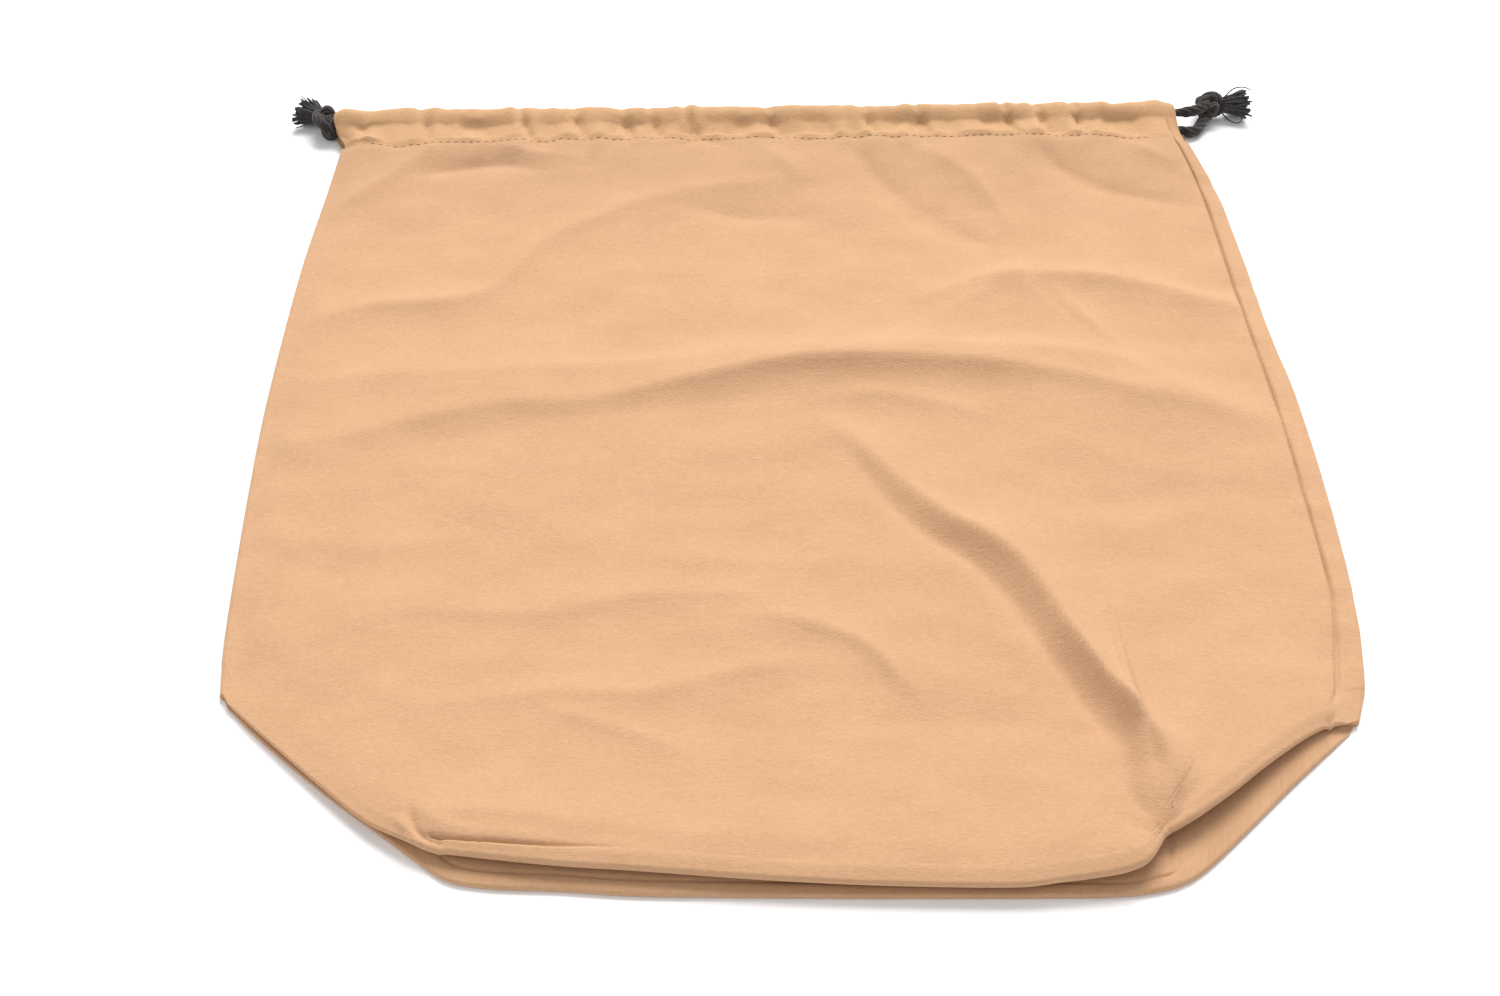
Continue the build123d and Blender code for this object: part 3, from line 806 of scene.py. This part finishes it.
# The cloth lies over the two cords, and is lifted off them where a gather would cut in
CORD_LINES = ((203.2, 7.6), (200.0, 7.6))
OFF_CORD = 2.4
for cord_y, cord_z in CORD_LINES:
    aside, above = seam_line + front_section[..., 0] - cord_y, front_section[..., 1] - cord_z
    push = np.maximum(OFF_CORD / np.maximum(np.hypot(aside, above), 0.1), 1)
    push = np.where(above > -0.5, push, 1)
    front_section = np.stack([cord_y - seam_line + aside * push, cord_z + above * push], -1)

back_section = section(
    [
        (0.0, 0.0, 0, 0),
        (5.0, 0.1, 0.05, 0),
        (10.0, 0.1, 0, 0),
        (roll(201.5), 0.2, 0, 0),
        (roll(205.0), 0.8, 0.1, 0),
        (roll(206.9) + 0.3 * bulge, 2.7, 0.2, 0),
        (roll(205.9) + 0.3 * bulge, 4.6, 0.2, 0),
        (roll(202.5), 5.15, 0, 0),
        (roll(197.5), 4.9, 0, 0),
        (7.0, 3.9, 0, 0),
        (3.5, 2.5, 0, 0),
        (0.4, 1.6, 0, 0),
    ]
)


# How far in from a casing's end each line of the turned-in cloth is, and how far inside the wall
TURNED_IN_LINES = ((0.15, 0.35), (0.9, 0.9), (4.0, 1.0), (8.0, 1.0))
TURNED_IN = len(TURNED_IN_LINES)


def casing_strip(points):
    """A casing's surface, with both of its open ends turned in."""
    y = seam_line + points[..., 0]
    x = across(at_column[None], y)
    x = x + (casing_x - x) * (1 - abs(at_column) ** 12)
    body = grid(x, y, points[..., 1])
    middle = body[4:-4].mean(axis=0)
    from_end = np.minimum(casing_x - casing_x[0], casing_x[-1] - casing_x)
    rounded = np.sqrt(1 - (1 - np.clip(from_end / 6, 0, 1)) ** 2)
    keep = smooth((points[..., 0] - 8) / 3)
    size = 1 - 0.24 * keep * (1 - rounded)
    body[..., 1:] = middle[:, 1:] + (body[..., 1:] - middle[:, 1:]) * size[..., None]
    ends = []
    for column, sign in ((0, 1), (-1, -1)):
        turned_in = []
        for move, inset in TURNED_IN_LINES:
            new = np.empty_like(body[:, column])
            for row, point in zip(body, new):
                point[:] = [np.interp(row[column, 0] + sign * move, row[:, 0], v) for v in row.T]
            ring = new[:, 1:] - new[:, 1:].mean(axis=0)
            clockwise = -np.sign(np.sum(ring[:-1, 0] * ring[1:, 1] - ring[1:, 0] * ring[:-1, 1]))
            along = np.gradient(ring, axis=0)
            inward = np.stack([along[:, 1], -along[:, 0]], -1) / np.linalg.norm(along, axis=1)[:, None]
            new[:, 1:] += clockwise * inset * inward
            turned_in.append(new)
        ends.append(turned_in)
    left = np.stack(ends[0][::-1], 1)
    right = np.stack(ends[1], 1)
    return np.concatenate([left, body, right], 1)


front_casing = casing_strip(front_section)
back_casing = casing_strip(back_section)
front_casing[0, TURNED_IN:-TURNED_IN] = front_sheet[-1]
back_casing[0, TURNED_IN:-TURNED_IN] = back_sheet[-1]


def casing_names(which):
    names = halves(which + "_casing", SECTION_ROWS)
    names[:, : HEM_COLUMNS[0]] = which + "_left_hem_cloth"
    names[:, HEM_COLUMNS[1] :] = which + "_right_hem_cloth"
    ends = np.full((SECTION_ROWS, TURNED_IN), which + "_left_hem_cloth", object)
    others = np.full((SECTION_ROWS, TURNED_IN), which + "_right_hem_cloth", object)
    return np.concatenate([ends, names, others], 1)


# Sides, where the cloth rolls from the front to the back -----


def side_turn(column, sign):
    """The rolled edge between a side column of the front sheet and the same column of the back sheet."""
    top, bottom = front_sheet[:, column], back_sheet[:, column]
    centre, radius = (top + bottom) / 2, (top[:, 2] - bottom[:, 2]) / 2
    rows = []
    for angle in np.linspace(0, pi, SIDE_TURN + 1):
        point = centre.copy()
        point[:, 0] += sign * radius * sin(angle)
        point[:, 2] += radius * cos(angle)
        rows.append(point)
    rows[0], rows[-1] = top, bottom
    found = np.stack(rows, 1)
    return found[:, ::-1] if sign < 0 else found


cloth = Surface()
# The back's flat map starts far from zero, so the painted shade at the mouth falls only on the front face
BACK_OFFSET, ROLL_WIDTH = -900.0, 5
front_flat = flat_map(front_strip, 0.0)
back_flat = flat_map(back_strip, BACK_OFFSET)
front_index = cloth.add(front_strip, front_flat, front_names)
back_index = cloth.add(back_strip, back_flat, back_names, flip=True)
casing_flat = flat_map(front_casing, 0.0)
casing_flat[..., 1] += front_flat[-1, MIDDLE, 1]
cloth.add(front_casing, casing_flat, casing_names("front"))
casing_flat = flat_map(back_casing, 0.0)
casing_flat[..., 1] += back_flat[-1, MIDDLE, 1]
cloth.add(back_casing, casing_flat, casing_names("back"), flip=True)

sheet_start = len(front_strip) - len(front_sheet)
for column, sign, name in ((0, -1, "front_panel_left"), (-1, 1, "back_panel_right")):
    turn = side_turn(column, sign)
    along = front_flat[sheet_start:, column, 1]
    out = sign * np.linspace(0, ROLL_WIDTH, SIDE_TURN + 1)
    out = front_flat[sheet_start:, column, 0][:, None] + (out[::-1] if sign < 0 else out)
    flat = np.stack(np.broadcast_arrays(out, along[:, None]), -1)
    index = cloth.add(turn, flat, np.full((len(turn) - 1, SIDE_TURN), name, object))
    arc = list(index[0]) if sign > 0 else list(index[0][::-1])
    inside = list(front_index[sheet_start - 1 :: -1, column])[: sheet_start]
    around = [front_index[sheet_start, column]] + inside
    around += list(back_index[1 : len(back_strip) - len(back_sheet) + 1, column])
    if sign > 0:
        cloth.close(around, arc, name)
    else:
        cloth.close(arc, around, name)
cloth.join()


# Meshes ------------------------------------------------------


def mesh_object(name, points, faces, material, normals=None, flat=None):
    """A smooth object from points in millimetres."""
    mesh = bpy.data.meshes.new(name)
    mesh.from_pydata((np.asarray(points) * MM).tolist(), [], faces)
    mesh.validate()
    mesh.polygons.foreach_set("use_smooth", np.ones(len(mesh.polygons), bool))
    if flat is not None:
        layer = mesh.uv_layers.new(name="cloth")
        corner = np.zeros(len(mesh.loops), np.int32)
        mesh.loops.foreach_get("vertex_index", corner)
        layer.data.foreach_set("uv", (flat[corner] * MM).astype(np.float32).ravel())
    if normals is not None:
        mesh.normals_split_custom_set_from_vertices(normals.tolist())
    mesh.materials.append(material)
    made = bpy.data.objects.new(name, mesh)
    bpy.context.scene.collection.objects.link(made)
    return made


def thick(name, points, outward, cells, flat, material, thickness=CLOTH):
    """A piece of cloth with a thickness, closed along its edges. The points are on its outer face."""
    used, cells = np.unique(cells, return_inverse=True)
    cells = cells.reshape(-1, 4)
    points, outward, flat = points[used], outward[used], flat[used]
    count = len(points)
    faces, edges = [], {}
    for cell in cells.tolist():
        cell = [v for k, v in enumerate(cell) if v != cell[k - 1]]
        if len(set(cell)) < 3:
            continue
        faces.append(cell)
        faces.append([v + count for v in reversed(cell)])
        for a, b in zip(cell, cell[1:] + cell[:1]):
            if (b, a) in edges:
                del edges[(b, a)]
            else:
                edges[(a, b)] = True
    for a, b in edges:
        faces.append([b, a, a + count, b + count])
    corners = (LEFT_CORNER, RIGHT_CORNER)
    tip = np.minimum(*(np.hypot(points[:, 0] - x, points[:, 1] - y) for x, y in corners))
    depth = thickness * (0.12 + 0.88 * smooth(tip / 9))
    both = np.concatenate([points, points - outward * depth[:, None]])
    normals = np.concatenate([outward, -outward])
    return mesh_object(name, both, faces, material, normals, np.concatenate([flat, flat]))


def cut(name, material):
    """The piece of cloth with this name."""
    cells = cloth.cells[cloth.cell_names == name]
    return thick(name, cloth.place, cloth.outward, cells, cloth.spread, material)


def gathers(piece):
    """Bakes the piece's placement into its points."""
    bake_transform(piece)


SIDES = ("left", "right")
pieces = {}
for layer in ("front", "back"):
    for side in SIDES:
        name = f"{layer}_panel_{side}"
        panel = pieces[name] = cut(name, TAN)
        gathers(panel)
        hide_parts(layer + "_panel")
        name = f"{layer}_casing_{side}"
        casing = pieces[name] = cut(name, TAN_CASING)
        gathers(casing)
        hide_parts(layer + "_casing")
        name = f"{layer}_{side}_hem_cloth"
        hem = pieces[name] = cut(name, TAN_CASING)
        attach(hem, side + "_mouth")
        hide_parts(f"{layer}_{side}_hem")

base = pieces["base_panel_cloth"] = cut("base_panel_cloth", TAN)
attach(base, "bag")
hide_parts("base_panel")


# Seams and stitching -----------------------------------------


def outward_of(points):
    """The outward direction at points of the cloth."""
    places = {tuple(np.round(p, 4)): n for p, n in zip(cloth.place, cloth.outward)}
    found = [places[tuple(np.round(p, 4))] for p in points.reshape(-1, 3)]
    return np.array(found).reshape(points.shape)


def allowance(name, patches_of_cloth, thickness=0.5, gap=0.05):
    """Two seam allowances pressed open against the inside of the cloth, under patches of its grid."""
    points, outward, cells, flat, count = [], [], [], [], 0
    for patch, flip in patches_of_cloth:
        out = outward_of(patch)
        index = count + np.arange(patch.shape[0] * patch.shape[1]).reshape(patch.shape[:2])
        quads = quads_of(index)
        cells.append(quads[:, ::-1] if flip else quads)
        points.append((patch - out * (CLOTH + gap)).reshape(-1, 3))
        outward.append(out.reshape(-1, 3))
        flat.append(patch[..., :2].reshape(-1, 2))
        count += index.size
    joined = [np.concatenate(part) for part in (points, outward, cells, flat)]
    return thick(name, *joined, TAN_INSIDE, thickness)


def stitches(name, places, directions, ups, length, width, height):
    """A row of short stitches: rounded, slightly sunk at both ends."""
    points, faces = [], []
    for place, ahead, up in zip(places, directions, ups):
        aside = np.cross(up, ahead)
        start = len(points)
        for along, size in ((-0.5, 0.35), (-0.32, 0.9), (0.0, 1.0), (0.32, 0.9), (0.5, 0.35)):
            lift = height * (1 - (2 * along) ** 2) - 0.15
            centre = place + ahead * along * length + up * lift
            for angle in np.linspace(0, 2 * pi, 6, endpoint=False):
                points.append(centre + size * width / 2 * (aside * cos(angle) + up * sin(angle)))
        for ring in range(4):
            for k in range(6):
                a, b = start + ring * 6 + k, start + ring * 6 + (k + 1) % 6
                faces.append([a, b, b + 6, a + 6])
        faces.append([start + k for k in range(5, -1, -1)])
        faces.append([start + 24 + k for k in range(6)])
    points = np.array(points)
    points[:, 2] = np.maximum(points[:, 2], 0.02)
    return mesh_object(name, points, faces, THREAD)


STITCH_STEP, STITCH_LENGTH, THREAD_WIDTH, STITCH_LIFT = 3.2, 2.0, 0.4, 0.22
for layer, casing_grid in (("front", front_casing), ("back", back_casing)):
    row = casing_grid[1, TURNED_IN:-TURNED_IN]
    directions = np.gradient(row, axis=0)
    directions /= np.linalg.norm(directions, axis=1)[:, None]
    outward = outward_of(casing_grid[1:2, TURNED_IN:-TURNED_IN])[0]
    from_hem, to_hem = (row[column, 0] for column in HEM_COLUMNS)
    for side, low, high in (("left", from_hem + 1, -0.6), ("right", 0.6, to_hem - 1)):
        at = np.arange(low + STITCH_STEP / 2, high - STITCH_STEP / 2, STITCH_STEP)
        pick = []
        for values in (row, directions, outward):
            pick.append(np.stack([np.interp(at, row[:, 0], values[:, k]) for k in range(3)], -1))
        name = f"{layer}_casing_stitching_{side}"
        thread = pieces[name] = stitches(name, *pick, STITCH_LENGTH, THREAD_WIDTH, STITCH_LIFT)
        gathers(thread)
        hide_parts(layer + "_casing_stitching")

# Each seam's allowances lie under a few columns or rows of the grid on both sides of it
half, wide = 3, 4
along_base = slice(BASE_COLUMNS[0], BASE_COLUMNS[1] + 1)
near_right = slice(SEAM_COLUMN - wide, SEAM_COLUMN + wide + 1)
near_left = slice(WRAP_COLUMN - wide, WRAP_COLUMN + wide + 1)
seam_pieces = {
    "right_side_seam": [(front_strip[FRONT_LIP_ROW + 5 : -1, near_right], False)],
    "left_side_seam": [(back_strip[-len(back_sheet) + 10 : -1, near_left], True)],
    "front_base_seam": [(front_strip[FRONT_LIP_ROW - 4 : FRONT_LIP_ROW + 5, along_base], False)],
    "back_base_seam": [(back_strip[BACK_LIP_ROW - 3 : BACK_LIP_ROW + 4, along_base], True)],
}
for side, column in zip(SIDES, BASE_COLUMNS):
    near_end = slice(column - half, column + half + 1)
    seam_pieces[f"{side}_base_end_seam"] = [
        (front_strip[5 : 4 + INNER_ROWS, near_end], False),
        (back_strip[1 : INNER_ROWS - 1, near_end], True),
    ]
for name, where in seam_pieces.items():
    seam = pieces[name] = allowance(name + "_allowance", where)
    if "side" in name:
        gathers(seam)
    else:
        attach(seam, "bag")
    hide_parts(name)


# Drawcords ---------------------------------------------------

# Route of each cord's centreline: out of its knot, along the front casing, round the far end and back
ROUTES = {
    "left": [
        (-190.3, 202.5, 7.0), (-187.5, 203.2, 7.5), (-177, 203.2, 7.6), (160, 203.2, 7.6), (171, 203.2, 7.6),
        (173.5, 200.0, 5.2), (171, 196.8, 2.65), (160, 196.8, 2.65), (-177, 196.8, 2.65),
        (-187.0, 200.5, 3.4), (-190.3, 203, 4.4),
    ],
    "right": [
        (193.0, 206.0, 7.4), (188.5, 201.6, 8.2), (182.5, 199.4, 7.9), (170, 200.0, 7.6), (-165, 200.0, 7.6),
        (-176, 200.0, 7.6), (-178.5, 200.0, 5.2), (-176, 200.0, 2.65), (-165, 200.0, 2.65),
        (162, 200.0, 2.65), (178.5, 194.0, 2.9), (184.5, 191.0, 2.7), (188.5, 196.5, 2.9),
        (192.5, 204.5, 3.8),
    ],
}


def nurbs_line(name, route):
    """Points along the smooth line of a route."""
    curve = bpy.data.curves.new(name + "_line", "CURVE")
    curve.dimensions = "3D"
    curve.resolution_u = 24
    spline = curve.splines.new("NURBS")
    spline.points.add(len(route) - 1)
    for point, place in zip(spline.points, route):
        point.co = (*[v * MM for v in place], 1)
    spline.use_endpoint_u = True
    spline.order_u = 3
    holder = bpy.data.objects.new(name + "_line", curve)
    bpy.context.scene.collection.objects.link(holder)
    mesh = bpy.data.meshes.new_from_object(holder)
    points = np.array([v.co for v in mesh.vertices]) / MM
    bpy.data.objects.remove(holder)
    bpy.data.meshes.remove(mesh)
    return points


def evenly(points, step):
    """The same line with points a step apart."""
    along = np.concatenate([[0], np.cumsum(np.linalg.norm(np.diff(points, axis=0), axis=1))])
    at = np.linspace(0, along[-1], max(4, int(along[-1] / step)))
    return np.stack([np.interp(at, along, points[:, k]) for k in range(3)], -1)


def frames_along(line, closed=False):
    """Two directions across a line that turn as little as they can."""
    ahead = np.gradient(line, axis=0)
    if closed:
        ahead = (np.roll(line, -1, 0) - np.roll(line, 1, 0)) / 2
    ahead /= np.linalg.norm(ahead, axis=1)[:, None]
    side = np.cross(ahead[0], UP)
    if np.linalg.norm(side) < 0.1:
        side = np.cross(ahead[0], (1.0, 0, 0))
    sides = []
    for direction in ahead:
        side = side - direction * (side @ direction)
        side /= np.linalg.norm(side)
        sides.append(side)
    sides = np.array(sides)
    return sides, np.cross(ahead, sides)


def tubes(lines, radii, around, closed=False):
    """Round tubes along lines. A radius is one number or one for each point."""
    points, faces, count = [], [], 0
    for line, radius in zip(lines, radii):
        side, up = frames_along(line, closed)
        angles = np.linspace(0, 2 * pi, around, endpoint=False)
        ring = side[:, None] * np.cos(angles)[None, :, None] + up[:, None] * np.sin(angles)[None, :, None]
        size = np.broadcast_to(radius, len(line))[:, None, None]
        points.append((line[:, None] + ring * size).reshape(-1, 3))
        n = len(line)
        for i in range(n if closed else n - 1):
            for k in range(around):
                a, b = i * around + k, i * around + (k + 1) % around
                c, d = (i + 1) % n * around + (k + 1) % around, (i + 1) % n * around + k
                faces.append([count + a, count + d, count + c, count + b])
        if not closed:
            faces.append([count + k for k in range(around)])
            faces.append([count + (n - 1) * around + k for k in range(around - 1, -1, -1)])
        count += n * around
    return np.concatenate(points), faces


# Radius of a cord inside the casings and outside them, and where it starts to widen at each end
PRESSED, OPEN = 1.5, 2.4
WIDENS_LEFT, WIDENS_RIGHT = -185, 177
LAY = 15


def plies(line, radius, number, turns, closed=False):
    """Lines of the strands laid up round a cord's centreline, and each strand's radius."""
    side, up = frames_along(line, closed)
    along = np.linspace(0, 1, len(line), endpoint=not closed)[:, None]
    found = []
    for k in range(number):
        angle = 2 * pi * (turns * along + k / number)
        found.append(line + radius * 0.47 * (side * np.cos(angle) + up * np.sin(angle)))
    return found, [np.reshape(radius * 0.56, -1)] * number


def make_cord(name, route):
    """A cord that is pressed thinner where the casings hold it."""
    line = evenly(nurbs_line(name, route), 1.3)
    length = np.linalg.norm(np.diff(line, axis=0), axis=1).sum()
    past_end = np.maximum((line[:, 0] - WIDENS_RIGHT) / 6, (WIDENS_LEFT - line[:, 0]) / 4)
    radius = PRESSED + (OPEN - PRESSED) * smooth(past_end)[:, None]
    strands, radii = plies(line, radius, 4, int(length / LAY))
    points, faces = tubes(strands, radii, 8)
    return mesh_object(name, points, faces, CHARCOAL), line, length


def knot_line(size, count=150):
    """An overhand knot drawn up tight."""
    t = np.linspace(0, 2 * pi, count, endpoint=False)
    x = np.sin(t) + 2 * np.sin(2 * t)
    y = np.cos(t) - 2 * np.cos(2 * t)
    z = -np.sin(3 * t)
    return np.stack([x * size[0] / 3, y * size[1] / 3, z * size[2]], -1)


def place_at(points, centre, lean, tip):
    """The points turned about Z by lean and tipped about X, with their middle at centre."""
    turn = np.array(Matrix.Rotation(radians(lean), 3, "Z") @ Matrix.Rotation(radians(tip), 3, "X"))
    return points @ turn.T + np.array(centre)


def make_knot(name, centre, size, lean, tip, bend):
    """A tight knot: one turn of cord over another, with a bend of the second strand between them."""
    line = place_at(knot_line(size), centre, lean, tip)
    strands, radii = plies(line, OPEN, 4, 6, closed=True)
    points, faces = tubes(strands, radii, 8, closed=True)
    line = evenly(through(bend, 40), 0.8)
    strands, radii = plies(line, OPEN, 4, max(1, int(len(line) / 16)))
    more, more_faces = tubes(strands, radii, 8)
    faces += [[v + len(points) for v in face] for face in more_faces]
    points = np.concatenate([points, more])
    points[:, 2] = np.maximum(points[:, 2], 0.1)
    return mesh_object(name, points, faces, CHARCOAL)


def make_tassel(name, root, direction, length, spread, number, strays):
    """Frayed yarns past a knot: a stiff brush cut blunt, with a few strays."""
    direction = np.array(direction) / np.linalg.norm(direction)
    side = np.cross(direction, UP)
    side /= np.linalg.norm(side)
    up = np.cross(side, direction)
    lines, radii = [], []
    for k in range(number):
        angle, away = rng.uniform(0, 2 * pi), np.sqrt(rng.uniform())
        start = np.array(root) + 2.7 * away * (side * cos(angle) + up * sin(angle)) - direction * 1.5
        fan = side * spread[0] * away * cos(angle) + up * spread[1] * away * sin(angle)
        long = length * rng.uniform(0.88, 1.04)
        end = start + direction * long + fan
        bow = rng.normal(0, 0.5, 3)
        middle = (start + end) / 2 - fan * 0.12 + bow
        line = through([start, middle, end + rng.normal(0, 0.35, 3)], 7)
        line[:, 2] = np.maximum(line[:, 2], 0.8)
        lines.append(line)
        radii.append(np.linspace(0.56, 0.42, 7) * rng.uniform(0.8, 1.2))
    for stray in strays:
        line = through(stray, 14)
        lines.append(line)
        radii.append(np.linspace(0.34, 0.2, 14))
    points, faces = tubes(lines, radii, 6)
    return mesh_object(name, points, faces, FRAYED)


LEFT_KNOT, RIGHT_KNOT = (-190.2, 202.9, 5.6), (193.8, 207.0, 6.0)
LEFT_BEND = [
    (-188, 196.5, 5.0), (-190.5, 196.5, 7.8), (-194, 201, 8.8), (-194.5, 207, 7.0), (-196.5, 210, 5.5),
]
RIGHT_BEND = [(189.5, 203, 8.0), (192.5, 208.5, 9.6), (196.5, 210.5, 8.6), (200, 208, 6.0)]
knots = {
    "left": make_knot("left_knot_strands", LEFT_KNOT, (3.0, 6.2, 2.6), 24, 20, LEFT_BEND),
    "right": make_knot("right_knot_strands", RIGHT_KNOT, (4.4, 4.2, 2.8), -12, 24, RIGHT_BEND),
}
tassels = {
    "left": make_tassel(
        "left_tassel_yarns", (-195.0, 208.8, 5.4), (-0.86, 0.50, -0.02), 9.6, (5.6, 3.4), 130,
        [
            [(-197, 210.5, 8.2), (-200, 214, 9.6), (-203, 217.4, 10.0)],
            [(-196.4, 206, 4.5), (-201, 205, 3.0), (-204.5, 203.8, 2.4)],
        ],
    ),
    "right": make_tassel(
        "right_tassel_yarns", (200.2, 208.2, 6.2), (0.98, 0.10, -0.03), 11.6, (4.8, 3.4), 130,
        [
            [(200, 209.5, 8.8), (205, 213.5, 11.0), (210, 215.6, 10.4), (213.4, 215.0, 9.2)],
            [
                (199.6, 206, 3.4), (201.8, 202.6, 2.2), (205.6, 200.8, 1.4), (208.0, 202.8, 2.0),
                (206.6, 205.6, 3.4),
            ],
            [(200, 208, 8.6), (204.5, 210.8, 10.0), (209.4, 210.6, 10.6)],
        ],
    ),
}
for side in SIDES:
    cord, line, length = make_cord(side + "_drawcord_strands", ROUTES[side])
    for piece, part in ((cord, "drawcord"), (knots[side], "knot"), (tassels[side], "tassel")):
        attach(piece, side + "_cord")
        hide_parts(f"{side}_{part}")
